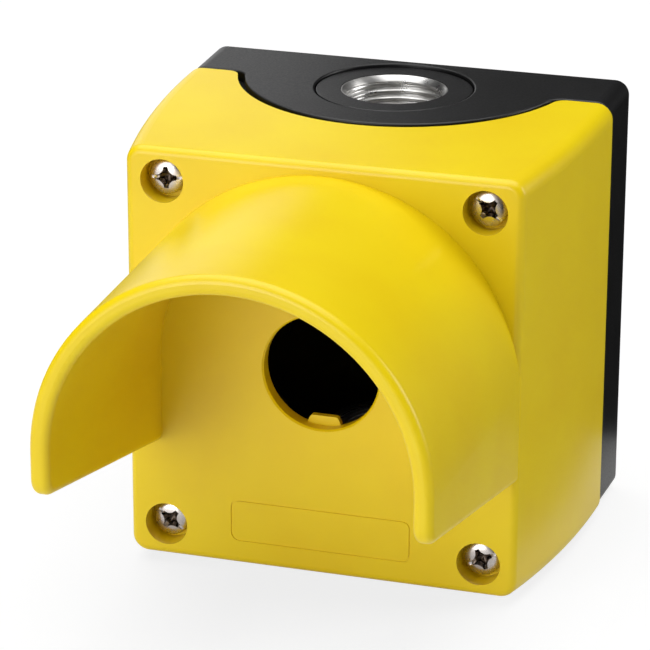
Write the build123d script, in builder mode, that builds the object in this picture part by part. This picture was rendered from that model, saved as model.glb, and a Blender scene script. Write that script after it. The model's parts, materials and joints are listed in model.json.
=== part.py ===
from build123d import *
from math import radians, sqrt, tan
import os

os.makedirs("parts", exist_ok=True)

# Wall-mounted enclosure for one 22 mm control device, with a moulded collar round the device.
# The frame has X to the right, Y into the wall and Z up. The origin is the middle of the wall face.

# Case, in mm
case_width = 85.0  # at the wall
case_height = 85.0  # at the wall
case_depth = 64.0  # wall to front plate
base_depth = 15.4  # wall to parting line at the sides
base_draft = 1.2  # degrees, on all four outer walls of the base
base_wall = 3.0
base_floor = 2.8
base_corner = 2.8
wall_edge = 0.6  # rounding of the edge against the wall
front_rim_edge = 0.4  # rounding of the base's front edge

# Cover
cover_overhang = 0.3  # cover past the base's wall size, each side
cover_crown = 0.35  # cover inside the base's wall size, top and bottom
side_taper = 5.2  # each side draws in by this, along an arc
end_taper = 1.65  # top and bottom draw in by this
end_lean = 0.02  # slope with which top and bottom start at the parting line
cover_corner = 3.2
front_edge = 1.5
cover_wall = 2.8
rim_wall = 3.4  # side wall at the parting line
rim_end_wall = 4.15  # top and bottom wall at the parting line
front_plate = 3.5

# Parting line, which runs forward round each cable entry as an arc
parting_gap = 0.6
arc_gap = 1.4
arc_radius = 33.0
arc_centre = 8.6  # from the wall
arc_corner = 2.6

# Tongue of the base, groove of the cover and the seal between them
groove_inset_side = 1.2
groove_inset_end = 1.85
groove_width = 1.2
groove_depth = 2.4
seal_thickness = 1.2
seal_clearance = 0.05
tongue_width = 0.8
tongue_clearance = 0.2

# Collar
collar_length = 53.0
collar_inner_root = 31.4  # radius at the front plate
collar_inner_rim = 32.8
collar_outer_root = 37.65
collar_outer_rise = 0.6  # centre of the outer arch over the hole's axis, at the root
collar_outer_rim = 36.4
collar_drop_root = 17.3  # lower edge under the hole's axis, at the front plate
collar_drop_rim = 7.8
collar_tip = 3.5
collar_edge = 1.45
collar_root_depth = 6.0  # how far its outer form runs back into the cover

# Hole for the device, with its key tab at the bottom
hole_radius = 11.15
hole_chamfer = 0.35
tab_root_width = 6.5
tab_top_width = 5.2
tab_height = 1.9
tab_thickness = 1.2
tab_rounding = 0.6
hole_relief = 0.25  # the hole is wider by this behind its edge, where the tab stands
hole_relief_gap = 0.1  # between the tab's face and the narrow part of the hole
hole_ring_width = 1.6
hole_ring_height = 1.4
hole_ring_gap = 4.0

# Blank panel line on the lower front
panel_width = 35.4
panel_height = 8.5
panel_drop = 31.5
panel_corner = 1.7
panel_line = 0.4
panel_line_depth = 0.2

# Cover screws, one in each corner
screw_inset_side = 11.8
screw_inset_end = 8.3
recess_radius = 4.2
recess_depth = 4.6
head_radius = 3.5
head_height = 2.3
head_dome = 1.7
shank_radius = 1.95
shank_clearance = 0.35
neck_depth = 0.4
sleeve_radius = 4.9
sleeve_gap = 0.2
seat_gap = 0.05
web_thickness = 1.6

# Brass inserts in the base's pillars
insert_radius = 3.0
insert_length = 8.0
insert_sink = 0.1
thread_clearance = 0.1
tip_to_insert_end = 1.5

# Rings that keep the screws in the cover
ring_radius = 3.6
ring_thickness = 1.0
ring_clearance = 0.2
ring_side_gap = 0.05
screw_travel = 7.2

# Cable entries, top and bottom
entry_setback = 17.3  # axis from the wall
entry_sink = 0.7  # flange face under the case's end
flange_radius = 15.2
flange_gap = 0.25
flange_edge = 0.3  # rounding of the flange and of the seat it lies in
flange_thickness = 2.4
flange_lip = 0.5
neck_radius = 12.2
neck_length = 12.0
entry_clearance = 0.1
entry_seal_thickness = 0.8
boss_wall = 1.7
boss_length = 5.75
bush_radius = 10.9
bush_length = 13.4
nose_radius = 10.35  # slimmer end of the bush, which shows in the flange
nose_sink = 0.1  # under the flange's face
thread_radius = 9.2
thread_chamfer = 0.9
nut_radius = 14.0
nut_thickness = 4.0
nut_slot = 2.4
nut_slot_depth = 0.9
nut_slots = 6

# Fixing to the wall and rails for a contact block
fixing_pitch_x = 60.0
fixing_pitch_z = 28.0
fixing_radius = 2.25
fixing_boss_radius = 4.6
fixing_boss_height = 1.2
rail_pitch = 26.0
rail_length = 44.0
rail_thickness = 1.6
rail_height = 5.0
rail_hook = 1.1
rail_hook_height = 1.2

# Sizes that follow
front_y = -case_depth
parting_y = -base_depth
cover_rear_y = parting_y - parting_gap
inner_front_y = front_y + front_plate
rear_half_w = case_width / 2 + cover_overhang
rear_half_h = case_height / 2 - cover_crown
front_half_w = rear_half_w - side_taper
front_half_h = rear_half_h - end_taper
arc_y = -arc_centre
base_arc_radius = arc_radius - arc_gap
rim_y = front_y - collar_length
screw_x = case_width / 2 - screw_inset_side
screw_z = case_height / 2 - screw_inset_end
head_seat_y = front_y + recess_depth
sleeve_end_y = parting_y - sleeve_gap
ring_rear_y = sleeve_end_y - ring_clearance
ring_bore_floor_y = ring_rear_y - ring_thickness - screw_travel - ring_clearance
neck_shank_radius = shank_radius - neck_depth
insert_front_y = parting_y + insert_sink
insert_rear_y = insert_front_y + insert_length
screw_tip_y = insert_rear_y - tip_to_insert_end
groove_half_w = rear_half_w - groove_inset_side
groove_half_h = rear_half_h - groove_inset_end
plate_inner_h = groove_half_h - (groove_width + tongue_width) / 2
entry_face = case_height / 2 - entry_sink  # from the case's axis
entry_seat = entry_face - flange_thickness - entry_seal_thickness
entry_bore_radius = neck_radius + entry_clearance
corners = [
    ("top_left", -screw_x, screw_z),
    ("top_right", screw_x, screw_z),
    ("bottom_left", -screw_x, -screw_z),
    ("bottom_right", screw_x, -screw_z),
]


# Block of the case: sides are arcs that leave the parting line squarely, ends lean in a little
def case_block(rear_w, rear_h, front_w, front_h, near_y, far_y, corner):
    with BuildPart() as block:
        with BuildSketch(Plane.XY):
            with BuildLine():
                Line((0, near_y), (rear_w, near_y))
                TangentArc((rear_w, near_y), (front_w, far_y), tangent=(0, -1))
                Line((front_w, far_y), (0, far_y))
                mirror(about=Plane.YZ)
            make_face()
        extrude(amount=2 * rear_h, both=True)
        with BuildSketch(Plane.YZ):
            with BuildLine():
                Line((near_y, 0), (near_y, rear_h))
                TangentArc((near_y, rear_h), (far_y, front_h), tangent=(-1, -end_lean))
                Line((far_y, front_h), (far_y, 0))
                mirror(about=Plane.XZ)
            make_face()
        extrude(amount=2 * rear_w, both=True, mode=Mode.INTERSECT)
        long_edges = block.edges().filter_by(lambda e: abs(e.center().X) > 1 and abs(e.center().Z) > 1)
        fillet(long_edges, corner)
    return block.part


# All that lies in front of a parting line: straight at the sides, arched round the cable entries
def front_region(flat_y, radius, corner):
    reach = 2 * case_depth
    with BuildPart() as region:
        with BuildSketch(Plane.XY) as outline:
            with Locations((0, flat_y - reach / 2)):
                Rectangle(2 * case_width, reach)
            with Locations((0, arc_y)):
                Circle(radius, mode=Mode.SUBTRACT)
            inner = outline.vertices().filter_by(lambda v: abs(v.Y - flat_y) < 0.01 and abs(v.X) < case_width / 2)
            fillet(inner, corner)
        extrude(amount=case_height, both=True)
    return region.part


# Frame round the case, seen from the front, from one depth to another
def frame_prism(outer_w, outer_h, width, corner, near_y, far_y):
    with BuildPart() as prism:
        with BuildSketch(Plane.XZ.offset(-near_y)):
            RectangleRounded(2 * outer_w, 2 * outer_h, corner)
            RectangleRounded(2 * (outer_w - width), 2 * (outer_h - width), corner - width / 2, mode=Mode.SUBTRACT)
        extrude(amount=near_y - far_y)
    return prism.part


# Arch of the collar at one depth: a half circle on straight legs
def arch(depth_y, radius, rise=0.0):
    leg = 2 * collar_drop_root + radius
    with BuildSketch(Plane.XZ.offset(-depth_y)) as section:
        with Locations((0, rise)):
            Circle(radius)
        with Locations((0, rise - leg / 2)):
            Rectangle(2 * radius, leg)
    return section.sketch


# Collar: a tapered arch, cut along its sloping lower edge, with rounded tips and rim
def collar_radius(root, rim, depth_y):
    return root + (rim - root) * (front_y - depth_y) / collar_length


root_y = front_y + collar_root_depth
past_rim_y = rim_y - front_plate
drop_slope = (collar_drop_root - collar_drop_rim) / collar_length
with BuildPart() as collar:
    add(arch(root_y, collar_radius(collar_outer_root, collar_outer_rim, root_y), collar_outer_rise))
    add(arch(rim_y, collar_outer_rim))
    loft(ruled=True)
    add(arch(front_y, collar_inner_root))
    add(arch(past_rim_y, collar_radius(collar_inner_root, collar_inner_rim, past_rim_y)))
    loft(ruled=True, mode=Mode.SUBTRACT)
    with BuildSketch(Plane.YZ) as side_view:
        with BuildLine():
            Polyline(
                (root_y, -collar_drop_root - drop_slope * collar_root_depth),
                (rim_y, -collar_drop_rim),
                (rim_y, 2 * collar_outer_root),
                (root_y, 2 * collar_outer_root),
                close=True,
            )
        make_face()
        fillet(side_view.vertices().sort_by(Axis.X)[:2].sort_by(Axis.Y)[0], collar_tip)
    extrude(amount=case_width, both=True, mode=Mode.INTERSECT)
    rim = collar.faces().sort_by(Axis.Y)[0]
    fillet(rim.edges().filter_by(Axis.X, reverse=True), collar_edge)

# Cover: a tapered shell with the collar, screw sleeves and the groove for the seal
outer_form = case_block(rear_half_w, rear_half_h, front_half_w, front_half_h, parting_y, front_y, cover_corner)
cavity_form = case_block(
    rear_half_w - rim_wall,
    rear_half_h - rim_end_wall,
    front_half_w - cover_wall,
    front_half_h - cover_wall,
    parting_y,
    inner_front_y,
    cover_corner / 2,
)
with BuildPart() as sleeves:
    with BuildSketch(Plane.XZ.offset(-sleeve_end_y)):
        with Locations(*[(x, z) for name, x, z in corners]):
            Circle(sleeve_radius)
    extrude(amount=sleeve_end_y - inner_front_y)
    with BuildSketch(Plane.XZ.offset(-cover_rear_y)):
        for side in (-1, 1):
            with Locations((side * rear_half_w, screw_z), (side * rear_half_w, -screw_z)):
                Rectangle(2 * screw_inset_side, web_thickness)
    extrude(amount=cover_rear_y - inner_front_y)
    add(outer_form, mode=Mode.INTERSECT)
    with BuildSketch(Plane.XZ.offset(-inner_front_y)):
        Circle(hole_radius + hole_ring_gap + hole_ring_width)
        Circle(hole_radius + hole_ring_gap, mode=Mode.SUBTRACT)
    extrude(amount=-hole_ring_height)

with BuildPart() as cover:
    add(outer_form)
    fillet(cover.faces().sort_by(Axis.Y)[0].edges(), front_edge)
    add(front_region(cover_rear_y, arc_radius, arc_corner), mode=Mode.INTERSECT)
    add(collar.part)
    add(cavity_form, mode=Mode.SUBTRACT)
    add(sleeves.part)
    groove = frame_prism(groove_half_w, groove_half_h, groove_width, cover_corner - groove_inset_side, 0, front_y)
    groove_floor = front_region(
        cover_rear_y - groove_depth, arc_radius + groove_depth, arc_corner - groove_depth
    )
    add(groove - groove_floor, mode=Mode.SUBTRACT)
    with BuildSketch(Plane.XZ.offset(case_depth)):
        Circle(hole_radius)
    extrude(amount=-(front_plate + hole_ring_height), mode=Mode.SUBTRACT)
    hole_rim = cover.edges().filter_by(GeomType.CIRCLE).filter_by(
        lambda e: abs(e.radius - hole_radius) < 0.01 and abs(e.center().Y - front_y) < 0.01
    )
    chamfer(hole_rim, hole_chamfer)
    with BuildSketch(Plane.XZ.offset(-inner_front_y)):
        Circle(hole_radius + hole_relief)
    extrude(amount=tab_thickness + hole_relief_gap, mode=Mode.SUBTRACT)
    with BuildSketch(Plane.XZ.offset(-inner_front_y)) as tab:
        tab_root_z = -sqrt(hole_radius**2 - tab_root_width**2 / 4)
        with BuildLine():
            Polyline(
                (-tab_root_width / 2, tab_root_z),
                (-tab_top_width / 2, -hole_radius + tab_height),
                (tab_top_width / 2, -hole_radius + tab_height),
                (tab_root_width / 2, tab_root_z),
                (tab_root_width / 2, -hole_radius - tab_height),
                (-tab_root_width / 2, -hole_radius - tab_height),
                close=True,
            )
        make_face()
        fillet(tab.vertices().sort_by(Axis.Y)[-2:], tab_rounding)
    extrude(amount=tab_thickness)
    with BuildSketch(Plane.XZ.offset(case_depth)):
        with Locations((0, -panel_drop)):
            RectangleRounded(panel_width, panel_height, panel_corner)
            RectangleRounded(
                panel_width - 2 * panel_line,
                panel_height - 2 * panel_line,
                panel_corner - panel_line,
                mode=Mode.SUBTRACT,
            )
    extrude(amount=-panel_line_depth, mode=Mode.SUBTRACT)
    with BuildSketch(Plane.XZ.offset(case_depth)):
        with Locations(*[(x, z) for name, x, z in corners]):
            Circle(recess_radius)
    extrude(amount=-recess_depth, mode=Mode.SUBTRACT)
    with BuildSketch(Plane.XZ.offset(case_depth)):
        with Locations(*[(x, z) for name, x, z in corners]):
            Circle(shank_radius + shank_clearance)
    extrude(amount=-case_depth, mode=Mode.SUBTRACT)
    with BuildSketch(Plane.XZ.offset(-ring_bore_floor_y)):
        with Locations(*[(x, z) for name, x, z in corners]):
            Circle(ring_radius + ring_clearance)
    extrude(amount=ring_bore_floor_y, mode=Mode.SUBTRACT)
cover.part.label = "cover"
export_step(cover.part, "parts/cover.step")

# Seal, laid in the bottom of the cover's groove
with BuildPart() as cover_seal:
    add(
        frame_prism(
            groove_half_w - seal_clearance,
            groove_half_h - seal_clearance,
            groove_width - 2 * seal_clearance,
            cover_corner - groove_inset_side,
            0,
            front_y,
        )
    )
    add(
        front_region(
            cover_rear_y - groove_depth + seal_thickness,
            arc_radius + groove_depth - seal_thickness,
            arc_corner - groove_depth + seal_thickness,
        ),
        mode=Mode.INTERSECT,
    )
    add(groove_floor, mode=Mode.SUBTRACT)
cover_seal.part.label = "cover_seal"
export_step(cover_seal.part, "parts/cover_seal.step")

# Base: a drafted tray whose top and bottom walls run forward as round plates for the cable entries
plate_reach = arc_centre + base_arc_radius + 1
draft_run = tan(radians(base_draft)) * plate_reach
with BuildPart() as base_block:
    with BuildSketch(Plane.XZ):
        RectangleRounded(case_width, case_height, base_corner)
    with BuildSketch(Plane.XZ.offset(plate_reach)):
        RectangleRounded(case_width - 2 * draft_run, case_height - 2 * draft_run, base_corner)
    loft(ruled=True)
    fillet(base_block.faces().sort_by(Axis.Y)[-1].edges(), wall_edge)
    add(front_region(parting_y, base_arc_radius, arc_corner + arc_gap), mode=Mode.SUBTRACT)
    front_rim = base_block.edges().filter_by(
        lambda e: max(v.Y for v in e.vertices()) < parting_y + 0.01 and e.geom_type != GeomType.LINE
    )
    fillet(front_rim, front_rim_edge)

with BuildPart() as base_fittings:
    with BuildSketch(Plane.XZ):
        with Locations(*[(x, z) for name, x, z in corners]):
            Circle(sleeve_radius)
    extrude(amount=base_depth)
    with BuildSketch(Plane.XZ):
        with GridLocations(fixing_pitch_x, fixing_pitch_z, 2, 2):
            Circle(fixing_boss_radius)
    extrude(amount=base_floor + fixing_boss_height)
    with BuildSketch(Plane.XZ):
        with GridLocations(rail_pitch, 0, 2, 1):
            Rectangle(rail_thickness, rail_length)
    extrude(amount=base_floor + rail_height)
    hook_inset = (rail_pitch - rail_thickness - rail_hook) / 2
    with BuildSketch(Plane.XZ.offset(base_floor + rail_height - rail_hook_height)):
        with Locations((-hook_inset, 0), (hook_inset, 0)):
            Rectangle(rail_hook, rail_length)
    extrude(amount=rail_hook_height)
    for face in (-1, 1):
        seat_plane = Plane(origin=(0, -entry_setback, face * entry_seat), x_dir=(1, 0, 0), z_dir=(0, 0, face))
        with BuildSketch(seat_plane):
            Circle(flange_radius + boss_wall)
        extrude(amount=-boss_length)

with BuildPart() as base:
    add(base_block.part)
    with BuildSketch(Plane.XZ.offset(base_floor)):
        RectangleRounded(case_width - 2 * base_wall, 2 * plate_inner_h, base_corner / 2)
    extrude(amount=case_depth, mode=Mode.SUBTRACT)
    tongue = frame_prism(
        groove_half_w - tongue_clearance,
        groove_half_h - tongue_clearance,
        tongue_width,
        cover_corner - groove_inset_side,
        parting_y + base_wall,
        front_y,
    )
    seal_face = groove_depth - seal_thickness - tongue_clearance
    add(tongue - front_region(cover_rear_y - seal_face, arc_radius + seal_face, arc_corner - seal_face))
    add(base_fittings.part & base_block.part)
    for face in (-1, 1):
        seat_plane = Plane(origin=(0, -entry_setback, face * entry_seat), x_dir=(1, 0, 0), z_dir=(0, 0, face))
        with BuildSketch(seat_plane):
            Circle(flange_radius + flange_gap)
        extrude(amount=2 * flange_thickness, mode=Mode.SUBTRACT)
        mouth = base.edges().filter_by(
            lambda e: face * e.center(CenterOf.BOUNDING_BOX).Z > entry_face
            and abs(e.center(CenterOf.BOUNDING_BOX).Y + entry_setback) < 1
            and e.length > 6 * flange_radius
        )
        fillet(mouth, flange_edge)
        with BuildSketch(seat_plane):
            Circle(entry_bore_radius)
        extrude(amount=-2 * boss_length, mode=Mode.SUBTRACT)
    with BuildSketch(Plane.XZ.offset(base_depth)):
        with Locations(*[(x, z) for name, x, z in corners]):
            Circle(insert_radius)
    extrude(amount=-(insert_sink + insert_length), mode=Mode.SUBTRACT)
    with BuildSketch(Plane.XZ):
        with GridLocations(fixing_pitch_x, fixing_pitch_z, 2, 2):
            Circle(fixing_radius)
    extrude(amount=base_depth, mode=Mode.SUBTRACT)
base.part.label = "base"
export_step(base.part, "parts/base.step")

# Screws, their rings and inserts, by corner
for name, x, z in corners:
    with BuildPart() as screw:
        with BuildSketch(Plane.XZ.offset(-screw_tip_y)):
            with Locations((x, z)):
                Circle(shank_radius)
        extrude(amount=screw_tip_y - head_seat_y + seat_gap)
        with BuildSketch(Plane.XZ.offset(seat_gap - head_seat_y)):
            with Locations((x, z)):
                Circle(head_radius)
        extrude(amount=head_height)
        fillet(screw.faces().sort_by(Axis.Y)[0].edges(), head_dome)
        with BuildSketch(Plane.XZ.offset(-ring_rear_y - ring_side_gap)):
            with Locations((x, z)):
                Circle(head_radius)
                Circle(neck_shank_radius, mode=Mode.SUBTRACT)
        extrude(amount=ring_thickness + 2 * ring_side_gap, mode=Mode.SUBTRACT)
        chamfer(screw.faces().sort_by(Axis.Y)[-1].edges(), neck_depth)
    screw.part.label = "cover_screw_" + name
    export_step(screw.part, "parts/" + screw.part.label + ".step")

    with BuildPart() as keeper:
        with BuildSketch(Plane.XZ.offset(-ring_rear_y)):
            with Locations((x, z)):
                Circle(ring_radius)
                Circle(neck_shank_radius + seal_clearance, mode=Mode.SUBTRACT)
        extrude(amount=ring_thickness)
    keeper.part.label = "screw_ring_" + name
    export_step(keeper.part, "parts/" + keeper.part.label + ".step")

    with BuildPart() as insert:
        with BuildSketch(Plane.XZ.offset(-insert_rear_y)):
            with Locations((x, z)):
                Circle(insert_radius)
                Circle(shank_radius + thread_clearance, mode=Mode.SUBTRACT)
        extrude(amount=insert_length)
    insert.part.label = "thread_insert_" + name
    export_step(insert.part, "parts/" + insert.part.label + ".step")

# Cable entries: flanged adapter, metal thread bush, flat seal and locknut
for name, face in (("top", 1), ("bottom", -1)):
    outer_plane = Plane(origin=(0, -entry_setback, face * entry_face), x_dir=(1, 0, 0), z_dir=(0, 0, face))
    bush_plane = outer_plane.offset(-flange_lip)
    with BuildPart() as adapter:
        with BuildSketch(outer_plane):
            Circle(flange_radius)
        extrude(amount=-flange_thickness)
        flange_face = adapter.faces().sort_by(Axis.Z)[-1 if face > 0 else 0]
        fillet(flange_face.edges(), flange_edge)
        with BuildSketch(outer_plane.offset(-flange_thickness)):
            Circle(neck_radius)
        extrude(amount=-neck_length)
        with BuildSketch(outer_plane):
            Circle(nose_radius + seat_gap)
        extrude(amount=-flange_thickness, mode=Mode.SUBTRACT)
        with BuildSketch(bush_plane):
            Circle(bush_radius)
        extrude(amount=-neck_length - flange_thickness, mode=Mode.SUBTRACT)
    adapter.part.label = "entry_adapter_" + name
    export_step(adapter.part, "parts/" + adapter.part.label + ".step")

    with BuildPart() as bush:
        with BuildSketch(bush_plane):
            Circle(bush_radius)
        extrude(amount=-bush_length)
        with BuildSketch(bush_plane):
            Circle(nose_radius)
        extrude(amount=flange_lip - nose_sink)
        with BuildSketch(outer_plane):
            Circle(thread_radius)
        extrude(amount=-2 * bush_length, mode=Mode.SUBTRACT)
        mouths = bush.edges().filter_by(GeomType.CIRCLE).filter_by(lambda e: abs(e.radius - thread_radius) < 0.01)
        chamfer(mouths.sort_by(Axis.Z)[-1 if face > 0 else 0], thread_chamfer)
    bush.part.label = "entry_bush_" + name
    export_step(bush.part, "parts/" + bush.part.label + ".step")

    with BuildPart() as entry_seal:
        with BuildSketch(outer_plane.offset(-flange_thickness)):
            Circle(flange_radius - entry_clearance)
            Circle(entry_bore_radius, mode=Mode.SUBTRACT)
        extrude(amount=-entry_seal_thickness)
    entry_seal.part.label = "entry_seal_" + name
    export_step(entry_seal.part, "parts/" + entry_seal.part.label + ".step")

    with BuildPart() as locknut:
        with BuildSketch(outer_plane.offset(-flange_thickness - entry_seal_thickness - boss_length)):
            Circle(nut_radius)
            Circle(entry_bore_radius, mode=Mode.SUBTRACT)
            with PolarLocations(nut_radius, nut_slots, start_angle=360 / nut_slots / 2):
                Rectangle(2 * nut_slot_depth, nut_slot, mode=Mode.SUBTRACT)
        extrude(amount=-nut_thickness)
    locknut.part.label = "entry_locknut_" + name
    export_step(locknut.part, "parts/" + locknut.part.label + ".step")
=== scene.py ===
import json
from math import cos, pi, radians, sin, tau

import bmesh
import bpy
from mathutils import Matrix, Vector


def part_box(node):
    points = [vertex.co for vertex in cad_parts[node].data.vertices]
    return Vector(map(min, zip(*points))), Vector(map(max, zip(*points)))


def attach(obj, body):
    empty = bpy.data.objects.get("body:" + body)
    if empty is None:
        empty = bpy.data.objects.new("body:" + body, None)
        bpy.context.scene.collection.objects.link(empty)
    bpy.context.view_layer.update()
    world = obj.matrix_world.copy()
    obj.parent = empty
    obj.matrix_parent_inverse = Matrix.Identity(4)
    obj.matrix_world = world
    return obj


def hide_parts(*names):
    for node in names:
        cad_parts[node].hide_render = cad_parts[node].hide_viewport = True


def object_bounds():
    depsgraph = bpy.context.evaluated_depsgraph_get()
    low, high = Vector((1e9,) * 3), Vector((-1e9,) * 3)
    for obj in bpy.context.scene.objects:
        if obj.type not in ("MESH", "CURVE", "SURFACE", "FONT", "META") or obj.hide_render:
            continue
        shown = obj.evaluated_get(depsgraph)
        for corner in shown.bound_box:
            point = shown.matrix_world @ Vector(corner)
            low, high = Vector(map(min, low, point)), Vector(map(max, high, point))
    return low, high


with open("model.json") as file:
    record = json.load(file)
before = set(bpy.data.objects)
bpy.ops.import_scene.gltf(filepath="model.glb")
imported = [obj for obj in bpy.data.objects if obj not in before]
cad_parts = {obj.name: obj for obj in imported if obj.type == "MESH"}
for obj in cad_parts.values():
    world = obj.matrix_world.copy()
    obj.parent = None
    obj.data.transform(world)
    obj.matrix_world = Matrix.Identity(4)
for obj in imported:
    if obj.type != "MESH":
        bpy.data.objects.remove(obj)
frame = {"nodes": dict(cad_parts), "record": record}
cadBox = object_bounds()
nodes = frame["nodes"]
mm = 0.001  # one millimetre in metres
corners = ["top_left", "top_right", "bottom_left", "bottom_right"]
print("frame loaded:", len(nodes), "nodes")


def linear(hexCode):  # sRGB hex to the linear colour that a shader takes
    channels = [int(hexCode[i : i + 2], 16) / 255 for i in (1, 3, 5)]
    return [c / 12.92 if c <= 0.04045 else ((c + 0.055) / 1.055) ** 2.4 for c in channels] + [1.0]


def addNode(tree, kind, settings=None, **inputs):
    # adds a node with its settings; an input is a value or another node's output, and in0 is
    # the first input
    node = tree.nodes.new(kind)
    for name, value in (settings or {}).items():
        setattr(node, name, value)
    for name, value in inputs.items():
        numbered = name.startswith("in") and name[2:].isdigit()
        socket = node.inputs[int(name[2:]) if numbered else name.replace("_", " ")]
        if isinstance(value, bpy.types.NodeSocket):
            tree.links.new(value, socket)
        else:
            socket.default_value = value
    return node


def newMaterial(name):  # an empty material and its tree
    material = bpy.data.materials.new(name)
    material.use_nodes = True
    material.node_tree.nodes.clear()
    return material, material.node_tree


noiseRange = {"From_Min": 0.3, "From_Max": 0.7}  # nearly all of a noise texture's values


def mottled(tree, value, first, second):  # the first colour, clouded with the second by a noise
    share = addNode(tree, "ShaderNodeMapRange", Value=value, **noiseRange)
    mix = addNode(
        tree,
        "ShaderNodeMix",
        {"data_type": "RGBA"},
        in0=share.outputs["Result"],
        in6=linear(first),
        in7=linear(second),
    )
    return mix.outputs[2]


# Polycarbonate blend, through-dyed signal yellow, moulded in a spark-eroded tool: satin, with a
# very fine grain
yellow = {
    "colour": "#F2D608",
    "deepColour": "#EECE05",
    "flowSize": 18 * mm,  # cloudiness of the moulding
    "grainSize": 0.30 * mm,  # the real grain is about 0.1 mm, drawn coarser so that it shows
    "grainHeight": 0.006 * mm,
    "roughness": (0.31, 0.39),
}


def yellowPolycarbonate():
    material, tree = newMaterial("yellowPolycarbonate")
    place = addNode(tree, "ShaderNodeTexCoord").outputs["Object"]
    flow = addNode(tree, "ShaderNodeTexNoise", Vector=place, Scale=1 / yellow["flowSize"])
    grain = addNode(
        tree,
        "ShaderNodeTexNoise",
        Vector=place,
        Scale=1 / yellow["grainSize"],
        Detail=3.0,
        Roughness=0.6,
    ).outputs["Fac"]
    low, high = yellow["roughness"]
    rough = addNode(tree, "ShaderNodeMapRange", Value=grain, To_Min=low, To_Max=high, **noiseRange)
    bump = addNode(tree, "ShaderNodeBump", Distance=yellow["grainHeight"], Height=grain)
    shader = addNode(
        tree,
        "ShaderNodeBsdfPrincipled",
        Base_Color=mottled(tree, flow.outputs["Fac"], yellow["colour"], yellow["deepColour"]),
        Roughness=rough.outputs["Result"],
        Normal=bump.outputs["Normal"],
        IOR=1.5,
    )
    addNode(tree, "ShaderNodeOutputMaterial", Surface=shader.outputs["BSDF"])
    return material


# Glass-filled polyamide, through-dyed black, moulded with a matt grain: a grey bloom where light
# grazes it
black = {
    "colour": "#090909",
    "paleColour": "#101011",
    "flowSize": 12 * mm,
    "grainSize": 0.45 * mm,  # drawn coarser than the real grain, as on the yellow
    "grainHeight": 0.02 * mm,
    "roughness": (0.33, 0.45),
}


def blackPolyamide():
    material, tree = newMaterial("blackPolyamide")
    place = addNode(tree, "ShaderNodeTexCoord").outputs["Object"]
    flow = addNode(tree, "ShaderNodeTexNoise", Vector=place, Scale=1 / black["flowSize"])
    grain = addNode(
        tree,
        "ShaderNodeTexNoise",
        Vector=place,
        Scale=1 / black["grainSize"],
        Detail=4.0,
        Roughness=0.65,
    ).outputs["Fac"]
    low, high = black["roughness"]
    rough = addNode(tree, "ShaderNodeMapRange", Value=grain, To_Min=low, To_Max=high, **noiseRange)
    bump = addNode(tree, "ShaderNodeBump", Distance=black["grainHeight"], Height=grain)
    shader = addNode(
        tree,
        "ShaderNodeBsdfPrincipled",
        Base_Color=mottled(tree, flow.outputs["Fac"], black["colour"], black["paleColour"]),
        Roughness=rough.outputs["Result"],
        Normal=bump.outputs["Normal"],
        IOR=1.5,
    )
    addNode(tree, "ShaderNodeOutputMaterial", Surface=shader.outputs["BSDF"])
    return material


# Brass, turned and nickel plated: bright, slightly warm grey, with the marks of the turning tool
# round the bore
nickel = {
    "colour": "#E4E3E1",
    "dullColour": "#CFCDCA",
    "cloudSize": 3 * mm,
    "toolMark": 0.25 * mm,  # feed of the tool, drawn coarser than the real 0.08 mm
    "markHeight": 0.003 * mm,
    "roughness": (0.26, 0.38),
}


def nickelPlate():
    material, tree = newMaterial("nickelPlate")
    place = addNode(tree, "ShaderNodeTexCoord").outputs["Object"]
    cloud = addNode(
        tree, "ShaderNodeTexNoise", Vector=place, Scale=1 / nickel["cloudSize"]
    ).outputs["Fac"]
    marks = addNode(
        tree,
        "ShaderNodeTexWave",
        {"wave_type": "BANDS", "bands_direction": "Z"},
        Vector=place,
        Scale=tau / 20 / nickel["toolMark"],  # at scale 1 a band is tau / 20 wide
        Distortion=1.5,
        Detail=2.0,
    )
    low, high = nickel["roughness"]
    rough = addNode(tree, "ShaderNodeMapRange", Value=cloud, To_Min=low, To_Max=high, **noiseRange)
    bump = addNode(
        tree, "ShaderNodeBump", Distance=nickel["markHeight"], Height=marks.outputs["Fac"]
    )
    shader = addNode(
        tree,
        "ShaderNodeBsdfPrincipled",
        Base_Color=mottled(tree, cloud, nickel["colour"], nickel["dullColour"]),
        Metallic=1.0,
        Roughness=rough.outputs["Result"],
        Normal=bump.outputs["Normal"],
    )
    addNode(tree, "ShaderNodeOutputMaterial", Surface=shader.outputs["BSDF"])
    return material


# Stainless steel, cold headed and tumbled: bright grey with soft clouds and small dents
steel = {
    "colour": "#DAD3CF",
    "dullColour": "#C2B9B4",
    "shadeAndGrimeColour": "#463C35",  # painted shade and grime on the recess's walls and bottom
    "cloudSize": 1.6 * mm,
    "dentSize": 0.5 * mm,
    "dentHeight": 0.003 * mm,
    "roughness": (0.22, 0.34),
}


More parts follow.
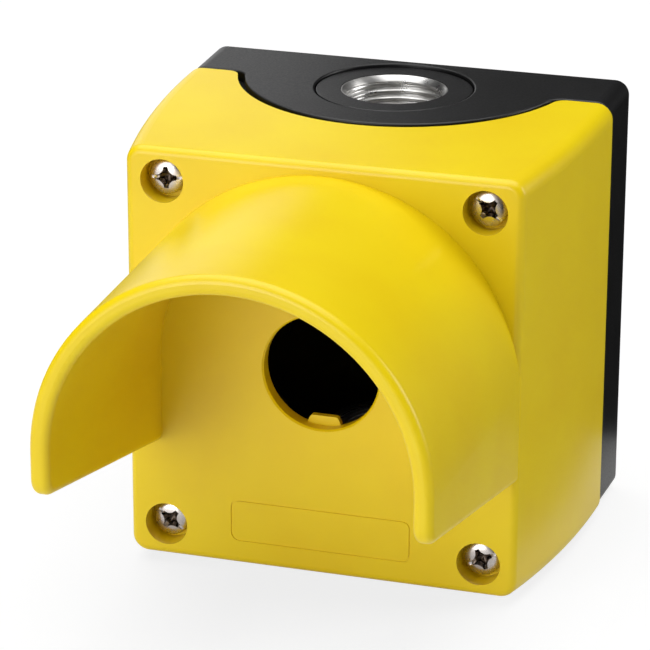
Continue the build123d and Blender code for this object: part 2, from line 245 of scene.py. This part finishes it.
def stainlessSteel():
    material, tree = newMaterial("stainlessSteel")
    place = addNode(tree, "ShaderNodeTexCoord").outputs["Object"]
    cloud = addNode(
        tree, "ShaderNodeTexNoise", Vector=place, Scale=1 / steel["cloudSize"], Detail=4.0
    ).outputs["Fac"]
    dents = addNode(
        tree, "ShaderNodeTexNoise", Vector=place, Scale=1 / steel["dentSize"], Detail=3.0
    )
    low, high = steel["roughness"]
    rough = addNode(tree, "ShaderNodeMapRange", Value=cloud, To_Min=low, To_Max=high, **noiseRange)
    bump = addNode(
        tree, "ShaderNodeBump", Distance=steel["dentHeight"], Height=dents.outputs["Fac"]
    )
    # painted shade and grime: the faces marked as in the recess take a fixed dark colour
    inRecess = addNode(tree, "ShaderNodeAttribute", {"attribute_name": "shadeAndGrime"})
    shadeAndGrime = addNode(
        tree,
        "ShaderNodeMix",
        {"data_type": "RGBA"},
        in0=inRecess.outputs["Fac"],
        in6=mottled(tree, cloud, steel["colour"], steel["dullColour"]),
        in7=linear(steel["shadeAndGrimeColour"]),
    )
    shader = addNode(
        tree,
        "ShaderNodeBsdfPrincipled",
        Base_Color=shadeAndGrime.outputs[2],
        Metallic=1.0,
        Roughness=rough.outputs["Result"],
        Normal=bump.outputs["Normal"],
    )
    addNode(tree, "ShaderNodeOutputMaterial", Surface=shader.outputs["BSDF"])
    return material


# Brass, turned and left bare: warm yellow metal, a little dulled
brass = {
    "colour": "#D8B56A",
    "dullColour": "#B48A3C",
    "cloudSize": 1.2 * mm,
    "cloudHeight": 0.004 * mm,
    "roughness": (0.22, 0.38),
}


def turnedBrass():
    material, tree = newMaterial("turnedBrass")
    place = addNode(tree, "ShaderNodeTexCoord").outputs["Object"]
    cloud = addNode(
        tree, "ShaderNodeTexNoise", Vector=place, Scale=1 / brass["cloudSize"], Detail=3.0
    ).outputs["Fac"]
    low, high = brass["roughness"]
    rough = addNode(tree, "ShaderNodeMapRange", Value=cloud, To_Min=low, To_Max=high, **noiseRange)
    bump = addNode(tree, "ShaderNodeBump", Distance=brass["cloudHeight"], Height=cloud)
    shader = addNode(
        tree,
        "ShaderNodeBsdfPrincipled",
        Base_Color=mottled(tree, cloud, brass["colour"], brass["dullColour"]),
        Metallic=1.0,
        Roughness=rough.outputs["Result"],
        Normal=bump.outputs["Normal"],
    )
    addNode(tree, "ShaderNodeOutputMaterial", Surface=shader.outputs["BSDF"])
    return material


# Nylon in its natural colour, moulded: milky, waxy, light passes a little way in
nylon = {
    "colour": "#E3DFD2",
    "deepColour": "#D2CCBA",
    "cloudSize": 2 * mm,
    "lightDepth": (1 * mm, 0.9 * mm, 0.7 * mm),  # how far red, green and blue light go in
    "roughness": (0.38, 0.48),
}


def naturalNylon():
    material, tree = newMaterial("naturalNylon")
    place = addNode(tree, "ShaderNodeTexCoord").outputs["Object"]
    cloud = addNode(
        tree, "ShaderNodeTexNoise", Vector=place, Scale=1 / nylon["cloudSize"]
    ).outputs["Fac"]
    low, high = nylon["roughness"]
    rough = addNode(tree, "ShaderNodeMapRange", Value=cloud, To_Min=low, To_Max=high, **noiseRange)
    shader = addNode(
        tree,
        "ShaderNodeBsdfPrincipled",
        Base_Color=mottled(tree, cloud, nylon["colour"], nylon["deepColour"]),
        Roughness=rough.outputs["Result"],
        IOR=1.53,
        Subsurface_Weight=0.15,
        Subsurface_Radius=nylon["lightDepth"],
    )
    addNode(tree, "ShaderNodeOutputMaterial", Surface=shader.outputs["BSDF"])
    return material


# Nitrile rubber, moulded: black and dull, with a faint dusty bloom
rubber = {
    "colour": "#121212",
    "bloomColour": "#242424",
    "bloomSize": 4 * mm,
    "grainSize": 0.3 * mm,
    "grainHeight": 0.01 * mm,
    "roughness": (0.66, 0.82),
}


def nitrileRubber():
    material, tree = newMaterial("nitrileRubber")
    place = addNode(tree, "ShaderNodeTexCoord").outputs["Object"]
    bloom = addNode(
        tree, "ShaderNodeTexNoise", Vector=place, Scale=1 / rubber["bloomSize"], Detail=4.0
    ).outputs["Fac"]
    grain = addNode(tree, "ShaderNodeTexNoise", Vector=place, Scale=1 / rubber["grainSize"])
    low, high = rubber["roughness"]
    rough = addNode(tree, "ShaderNodeMapRange", Value=bloom, To_Min=low, To_Max=high, **noiseRange)
    bump = addNode(
        tree, "ShaderNodeBump", Distance=rubber["grainHeight"], Height=grain.outputs["Fac"]
    )
    shader = addNode(
        tree,
        "ShaderNodeBsdfPrincipled",
        Base_Color=mottled(tree, bloom, rubber["colour"], rubber["bloomColour"]),
        Roughness=rough.outputs["Result"],
        Normal=bump.outputs["Normal"],
        IOR=1.52,
    )
    addNode(tree, "ShaderNodeOutputMaterial", Surface=shader.outputs["BSDF"])
    return material


materials = {
    "yellow_plastic": yellowPolycarbonate(),
    "black_plastic": blackPolyamide(),
    "nickel_plated_brass": nickelPlate(),
    "stainless_steel": stainlessSteel(),
    "brass": turnedBrass(),
    "nylon": naturalNylon(),
    "seal_rubber": nitrileRubber(),
}
slotOf = {part["node"]: part["material_slot"] for part in frame["record"]["subparts"]}
for name, node in nodes.items():
    node.data.materials.clear()
    node.data.materials.append(materials[slotOf[name]])
print("materials made:", len(materials))


threadSteps = 10  # rows of surface to a thread's pitch, enough to round its crests and roots
weld = 0.0001 * mm  # points nearer than this are one


def threadRows(start, end, crest, root, pitch, segments, fade):  # rows that climb a pitch a turn
    direction = 1 if end > start else -1
    span = abs(end - start)
    turns = int(span / pitch) + 1
    starts = [turn + step / threadSteps for turn in range(-1, turns) for step in range(threadSteps)]
    rows = []
    for turned in starts + [turns]:
        row = []
        for j in range(segments):
            along = min(max((turned + j / segments) * pitch, 0.0), span)
            position = along / pitch - j / segments
            runOut = min(1.0, along / fade, (span - along) / fade)
            depth = (0.5 - 0.5 * cos(tau * position)) * max(runOut, 0.0)
            row.append((crest + (root - crest) * depth, start + direction * along))
        rows.append(row)
    return rows


def meshFrom(bm, name):
    mesh = bpy.data.meshes.new(name)
    bm.to_mesh(mesh)
    bm.free()
    return mesh


def turnedMesh(name, outline, segments, closed):
    # turns an outline about local Z; its items are (radius, height) points, or a dictionary for
    # a thread
    rows = []
    seams = []  # for each row, the row that it meets after a full turn: one pitch on in a thread
    for item in outline:
        if isinstance(item, dict):
            thread = threadRows(segments=segments, **item)
            last = len(rows) + len(thread) - 1
            seams += [min(len(rows) + i + threadSteps, last) for i in range(len(thread))]
            rows += thread
        else:
            seams.append(len(rows))
            rows.append([item] * segments)
    bm = bmesh.new()
    angles = [tau * j / segments for j in range(segments)]
    grid = []
    for row in rows:
        grid.append([bm.verts.new((r * cos(a), r * sin(a), h)) for a, (r, h) in zip(angles, row)])
    pairs = list(zip(range(len(grid)), range(1, len(grid))))
    if closed:
        pairs.append((len(grid) - 1, 0))
    for low, high in pairs:
        for j in range(segments - 1):
            bm.faces.new((grid[low][j], grid[low][j + 1], grid[high][j + 1], grid[high][j]))
        seam = (grid[low][-1], grid[seams[low]][0], grid[seams[high]][0], grid[high][-1])
        bm.faces.new(dict.fromkeys(seam))  # at the end of a thread two of its corners are one
    bmesh.ops.remove_doubles(bm, verts=bm.verts, dist=weld)
    bmesh.ops.dissolve_degenerate(bm, edges=bm.edges, dist=weld)
    bmesh.ops.recalc_face_normals(bm, faces=bm.faces)
    return meshFrom(bm, name)


def softenEdges(mesh, degrees):  # smooth shading, with edges sharper than this left crisp
    bm = bmesh.new()
    bm.from_mesh(mesh)
    for face in bm.faces:
        face.smooth = True
    for edge in bm.edges:
        edge.smooth = len(edge.link_faces) == 2 and edge.calc_face_angle(0.0) < radians(degrees)
    bm.to_mesh(mesh)
    bm.free()


def newObject(name, data):  # an object in the scene
    item = bpy.data.objects.new(name, data)
    bpy.context.scene.collection.objects.link(item)
    return item


def placed(mesh, name, matrix, material, body, replaced):
    # puts a piece where its CAD node was, on its body
    mesh.transform(matrix)
    piece = newObject(name, mesh)
    mesh.materials.clear()
    mesh.materials.append(materials[material])
    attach(piece, body)
    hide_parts(replaced)


def modified(mesh, kind, **settings):  # the mesh after one modifier
    holder = newObject("holder", mesh)
    modifier = holder.modifiers.new(kind.lower(), kind)
    for name, value in settings.items():
        setattr(modifier, name, value)
    bpy.context.view_layer.update()
    finished = holder.evaluated_get(bpy.context.evaluated_depsgraph_get())
    result = bpy.data.meshes.new_from_object(finished)
    bpy.data.objects.remove(holder)
    return result


# Cover screws: pan head with a cross recess and a shallow slot, a neck for the ring, and an M4
# thread at the tip
screw = {
    "shankRadius": 1.95 * mm,
    "tipLength": 0.45 * mm,
    "tipTaper": 0.55 * mm,  # the tip's end is slimmer than the shank by this
    "threadPitch": 0.7 * mm,
    "threadDepth": 0.42 * mm,
    "threadFade": 0.8 * mm,  # length over which it runs out
    "threadGap": 0.4 * mm,  # from its end to the ring
    "neckDepth": 0.4 * mm,
    "neckLip": 0.05 * mm,  # the neck is longer than the ring by this at each end
    "rootHeight": 0.25 * mm,  # cone between the shank and the head
    "rootWidth": 0.2 * mm,
    "headHeight": 2.3 * mm,
    "headRadius": 3.35 * mm,
    "edgeHeight": 1.5 * mm,  # straight part of the head's side
    "edgeRound": 0.15 * mm,
    "domePower": 2.4,  # 2 is a round dome, more is flatter on top
    "domeSteps": 14,
    "crossReach": 2.15 * mm,  # from the axis to the end of a wing
    "crossWidth": 0.88 * mm,
    "crossDepth": 1.75 * mm,
    # height over the head's top and size of the wings, as shares of crossDepth and crossReach
    "crossLevels": ((0.6, 1.17), (-0.75, 0.75), (-1.0, 0.45)),
    "crossPoint": 1.15,  # depth of the middle as a share of crossDepth
    "padCentre": 0.98,  # centre of the round pads between the wings, as a share of the reach
    "padSteps": 6,
    "slotWidth": 0.55 * mm,
    "slotDepth": 0.45 * mm,
    "edgeBreak": 0.05 * mm,
    "breakAngle": 40,  # degrees; edges sharper than this are broken
    "crispAngle": 35,  # degrees; edges sharper than this aren't shaded smooth
    "shadeAndGrimeDepth": 0.5 * mm,  # the recess is painted dark, as shade and grime, from here down
    "shadeAndGrimeReach": 2.58 * mm,  # and this far from the axis
    "angles": {"top_left": 2, "top_right": -40, "bottom_left": -38, "bottom_right": 28},  # degrees
    "segments": 64,
}


def crossOutline(reach, width):  # outline of the cross: four square-ended wings and round pads
    half = width / 2
    centre = reach * screw["padCentre"]
    radius = centre - half
    points = []
    for quarter in range(4):
        turn = Matrix.Rotation(quarter * pi / 2, 2)
        points.append(turn @ Vector((reach, half)))
        for step in range(screw["padSteps"] + 1):
            angle = pi * 1.5 - step / screw["padSteps"] * pi / 2
            pad = Vector((centre + radius * cos(angle), centre + radius * sin(angle)))
            points.append(turn @ pad)
        points.append(turn @ Vector((half, reach)))
    return points


def crossCutter(topHeight):  # the punch that leaves the cross recess
    bm = bmesh.new()
    rings = []
    for height, size in screw["crossLevels"]:
        width = screw["crossWidth"] * (0.5 + size / 2)  # narrows half as fast as the reach
        level = topHeight + height * screw["crossDepth"]
        points = crossOutline(screw["crossReach"] * size, width)
        rings.append([bm.verts.new((x, y, level)) for x, y in points])
    bottom = bm.verts.new((0, 0, topHeight - screw["crossPoint"] * screw["crossDepth"]))
    count = len(rings[0])
    for low, high in zip(rings, rings[1:]):
        for j in range(count):
            bm.faces.new((low[j], low[(j + 1) % count], high[(j + 1) % count], high[j]))
    for j in range(count):
        bm.faces.new((rings[-1][j], rings[-1][(j + 1) % count], bottom))
    bm.faces.new(rings[0])
    bmesh.ops.recalc_face_normals(bm, faces=bm.faces)
    return meshFrom(bm, "crossCutter")


def slotCutter(topHeight):  # the saw that leaves the slot: longer than the head is wide
    bm = bmesh.new()
    bmesh.ops.create_cube(bm, size=1.0)
    size = Vector((3 * screw["headRadius"], screw["slotWidth"], 2 * screw["slotDepth"]))
    for vert in bm.verts:
        vert.co = Vector(a * b for a, b in zip(vert.co, size)) + Vector((0, 0, topHeight))
    return meshFrom(bm, "slotCutter")


def cut(mesh, cutter):  # the mesh less the cutter
    tool = newObject("tool", cutter)
    result = modified(mesh, "BOOLEAN", object=tool, operation="DIFFERENCE", solver="EXACT")
    bpy.data.objects.remove(tool)
    return result


def screwMesh(length, ringStart, ringEnd):  # heights run from the tip, at 0, to the head's top
    shank, head = screw["shankRadius"], screw["headRadius"]
    neck = shank - screw["neckDepth"]
    neckStart, neckEnd = ringStart - screw["neckLip"], ringEnd + screw["neckLip"]
    seat = length - screw["headHeight"]
    edgeTop = seat + screw["edgeHeight"]
    thread = dict(
        start=screw["tipLength"],
        end=ringStart - screw["threadGap"],
        crest=shank,
        root=shank - screw["threadDepth"],
        pitch=screw["threadPitch"],
        fade=screw["threadFade"],
    )
    outline = [(0, 0), (shank - screw["tipTaper"], 0), thread]
    outline += [(shank, neckStart), (neck, neckStart), (neck, neckEnd), (shank, neckEnd)]
    outline += [(shank, seat - screw["rootHeight"]), (shank + screw["rootWidth"], seat)]
    outline += [(head - screw["edgeRound"], seat), (head, seat + screw["edgeRound"])]
    outline.append((head, edgeTop))
    domeHeight = screw["headHeight"] - screw["edgeHeight"]
    for step in range(1, screw["domeSteps"]):
        angle = step / screw["domeSteps"] * pi / 2
        share = cos(angle) ** (2 / screw["domePower"])
        outline.append((head * share, edgeTop + domeHeight * sin(angle)))
    outline.append((0, length))
    mesh = turnedMesh("screw", outline, screw["segments"], closed=False)
    mesh = cut(mesh, slotCutter(length))
    mesh = cut(mesh, crossCutter(length))
    mesh = modified(
        mesh,
        "BEVEL",
        width=screw["edgeBreak"],
        segments=1,
        limit_method="ANGLE",
        angle_limit=radians(screw["breakAngle"]),
    )
    softenEdges(mesh, screw["crispAngle"])
    shadeAndGrime = mesh.attributes.new("shadeAndGrime", "FLOAT", "FACE")  # 1 on the recess's walls and bottom, which take painted shade and grime
    for face in mesh.polygons:
        deep = seat < face.center.z < length - screw["shadeAndGrimeDepth"]
        inside = face.center.xy.length < screw["shadeAndGrimeReach"]
        shadeAndGrime.data[face.index].value = float(deep and inside)
    return mesh


for corner in corners:
    low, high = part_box("cover_screw_" + corner)
    ringLow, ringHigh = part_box("screw_ring_" + corner)
    middle = (low + high) / 2
    mesh = screwMesh(high.y - low.y, high.y - ringHigh.y, high.y - ringLow.y)
    outward = Matrix.Translation((middle.x, high.y, middle.z)) @ Matrix.Rotation(pi / 2, 4, "X")
    placed(
        mesh,
        "coverScrew_" + corner,
        outward @ Matrix.Rotation(radians(screw["angles"][corner]), 4, "Z"),
        "stainless_steel",
        "screw_" + corner,
        "cover_screw_" + corner,
    )
print("cover screws made")


# Thread bushes of the cable entries: nickel-plated, M20 x 1.5 inside, with a broad turned mouth
bush = {
    "noseRadius": 10.35 * mm,  # the slimmer end that shows in the black flange
    "noseHeight": 0.4 * mm,
    "rimRound": 0.08 * mm,
    "mouthRadius": 10.1 * mm,
    "mouthDepth": 1.0 * mm,
    "mouthStep": 0.05 * mm,  # between the mouth's end and the bore
    "bore": 9.2 * mm,
    "threadPitch": 1.5 * mm,
    "threadRoot": 9.85 * mm,
    "threadFade": 0.5 * mm,
    "threadStart": 0.1 * mm,  # from the mouth
    "threadEnd": 0.5 * mm,  # from the inner end
    "innerChamfer": 0.4 * mm,
    "crispAngle": 35,  # degrees
    "segments": 128,
}


def bushMesh(length, outer):  # height 0 is the inner end
    nose, rim, bore = bush["noseRadius"], bush["rimRound"], bush["bore"]
    shoulder, mouthEnd = length - bush["noseHeight"], length - bush["mouthDepth"]
    thread = dict(
        start=mouthEnd - bush["threadStart"],
        end=bush["threadEnd"],
        crest=bore,
        root=bush["threadRoot"],
        pitch=bush["threadPitch"],
        fade=bush["threadFade"],
    )
    outline = [(outer, 0), (outer, shoulder), (nose, shoulder), (nose, length - rim)]
    outline += [(nose - rim, length), (bush["mouthRadius"], length)]
    outline += [(bore + bush["mouthStep"], mouthEnd), thread, (bore + bush["innerChamfer"], 0)]
    mesh = turnedMesh("bush", outline, bush["segments"], closed=True)
    softenEdges(mesh, bush["crispAngle"])
    return mesh


for entry, angle in (("top", 0), ("bottom", pi)):  # the bottom one is turned over
    low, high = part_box("entry_bush_" + entry)
    middle = (low + high) / 2
    inner = high.z if angle else low.z
    mesh = bushMesh(high.z - low.z, (high.x - low.x) / 2)
    outward = Matrix.Translation((middle.x, middle.y, inner)) @ Matrix.Rotation(angle, 4, "X")
    name = "threadBush_" + entry
    placed(mesh, name, outward, "nickel_plated_brass", "base", "entry_bush_" + entry)
print("thread bushes made")


# Threaded inserts of the pillars: turned brass, pressed in, M4 inside
insert = {
    "bore": 1.7 * mm,
    "threadPitch": 0.7 * mm,
    "threadRoot": 2.2 * mm,
    "threadFade": 0.3 * mm,
    "threadEnd": 0.4 * mm,  # from the end deep in the pillar
    "mouthDepth": 0.35 * mm,
    "edgeBreak": 0.2 * mm,
    "crispAngle": 25,  # degrees
    "segments": 48,
}


def insertMesh(length, outer):  # height 0 is the end deep in the pillar
    root, edge = insert["threadRoot"], insert["edgeBreak"]
    thread = dict(
        start=length - insert["mouthDepth"],
        end=insert["threadEnd"],
        crest=insert["bore"],
        root=root,
        pitch=insert["threadPitch"],
        fade=insert["threadFade"],
    )
    outline = [(outer, 0), (outer, length - edge), (outer - edge, length), (root, length)]
    outline += [thread, (root, 0)]
    mesh = turnedMesh("insert", outline, insert["segments"], closed=True)
    softenEdges(mesh, insert["crispAngle"])
    return mesh


for corner in corners:
    low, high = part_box("thread_insert_" + corner)
    middle = (low + high) / 2
    mesh = insertMesh(high.y - low.y, (high.x - low.x) / 2)
    outward = Matrix.Translation((middle.x, high.y, middle.z)) @ Matrix.Rotation(pi / 2, 4, "X")
    placed(mesh, "threadInsert_" + corner, outward, "brass", "base", "thread_insert_" + corner)
print("thread inserts made")


# Studio: a white paper floor and large soft lights
studio = {
    "cameraPlace": (0.17307, -0.61201, 0.21982),
    "cameraTarget": (-0.016322, -0.009446, -0.011254),
    "cameraRoll": 0.178,  # degrees
    "lens": 184.83,
    "sensorWidth": 36,
    "nearClip": 0.01,
    "lightTarget": (0, -0.05, 0),
    "floorSize": 8.0,
    "floorDrop": 0.05 * mm,  # from the object's foot down to the paper
    "floorColour": "#A4A4A3",
    "floorGlow": 0.80,
    "bounceColour": "#DCDCD9",
    "board": ((-0.35, -0.50), (0.055, 0.025)),  # two corners
    "boardColour": "#F4F4F2",
    "boardGlow": 0.3,
    "skyBrightness": 0.02,
}
lights = {  # place in metres, edge of the softbox, power in watts
    "keyLight": ((-0.12, -0.05, 1.10), 1.6, 19.5),
    "frontFill": ((-0.60, -1.30, 0.36), 1.0, 6.4),
    "lowFill": ((-0.30, -1.10, 0.08), 0.4, 2.4),
    "rightFill": ((1.10, 0.40, 0.40), 0.6, 4.8),
    "backCard": ((-0.33, 0.50, 0.15), 0.30, 0.3),
}


def aim(place, target, roll=0.0):  # turns what looks along its own -Z from place to target
    look = (Vector(target) - Vector(place)).to_track_quat("-Z", "Y").to_matrix().to_4x4()
    return Matrix.Translation(place) @ look @ Matrix.Rotation(radians(roll), 4, "Z")


camera = newObject("camera", bpy.data.cameras.new("camera"))
camera.data.sensor_width = studio["sensorWidth"]
camera.data.lens = studio["lens"]
camera.data.clip_start = studio["nearClip"]
camera.matrix_world = aim(studio["cameraPlace"], studio["cameraTarget"], studio["cameraRoll"])
bpy.context.scene.camera = camera


def sheet(name, area, colour, glow, seenBy):  # a flat sheet of paper that only some rays see
    (left, front), (right, back) = area
    height = cadBox[0][2] - studio["floorDrop"]
    outline = [(left, front), (right, front), (right, back), (left, back)]
    mesh = bpy.data.meshes.new(name)
    mesh.from_pydata([(x, y, height) for x, y in outline], [], [(0, 1, 2, 3)])
    paper, tree = newMaterial(name)
    shader = addNode(
        tree,
        "ShaderNodeBsdfPrincipled",
        Base_Color=linear(colour),
        Roughness=0.9,
        Specular_IOR_Level=0.1,
        Emission_Color=linear("#FFFFFF"),
        Emission_Strength=glow,
    )
    addNode(tree, "ShaderNodeOutputMaterial", Surface=shader.outputs["BSDF"])
    mesh.materials.append(paper)
    piece = newObject(name, mesh)
    for ray in ("camera", "diffuse", "glossy", "shadow"):
        setattr(piece, "visible_" + ray, ray == seenBy)


# The floor is white paper lit from below. Grey paper sets how much light it throws back up, and
# only a board at the object's foot shows in reflections, as between black flags in a real studio.
edge = studio["floorSize"] / 2
wholeFloor = ((-edge, -edge), (edge, edge))
sheet("studioFloor", wholeFloor, studio["floorColour"], studio["floorGlow"], "camera")
sheet("studioBounce", wholeFloor, studio["bounceColour"], 0.0, "diffuse")
sheet("studioBoard", studio["board"], studio["boardColour"], studio["boardGlow"], "glossy")

world = bpy.data.worlds.new("studio")
bpy.context.scene.world = world
world.use_nodes = True
sky = world.node_tree.nodes["Background"]
sky.inputs["Color"].default_value = (1, 1, 1, 1)
sky.inputs["Strength"].default_value = studio["skyBrightness"]

for name, (place, size, power) in lights.items():
    light = newObject(name, bpy.data.lights.new(name, "AREA"))
    light.data.shape = "SQUARE"
    light.data.size = size
    light.data.energy = power
    light.visible_camera = False
    light.matrix_world = aim(place, studio["lightTarget"])
bpy.context.scene.view_settings.view_transform = "Standard"
print("studio ready")
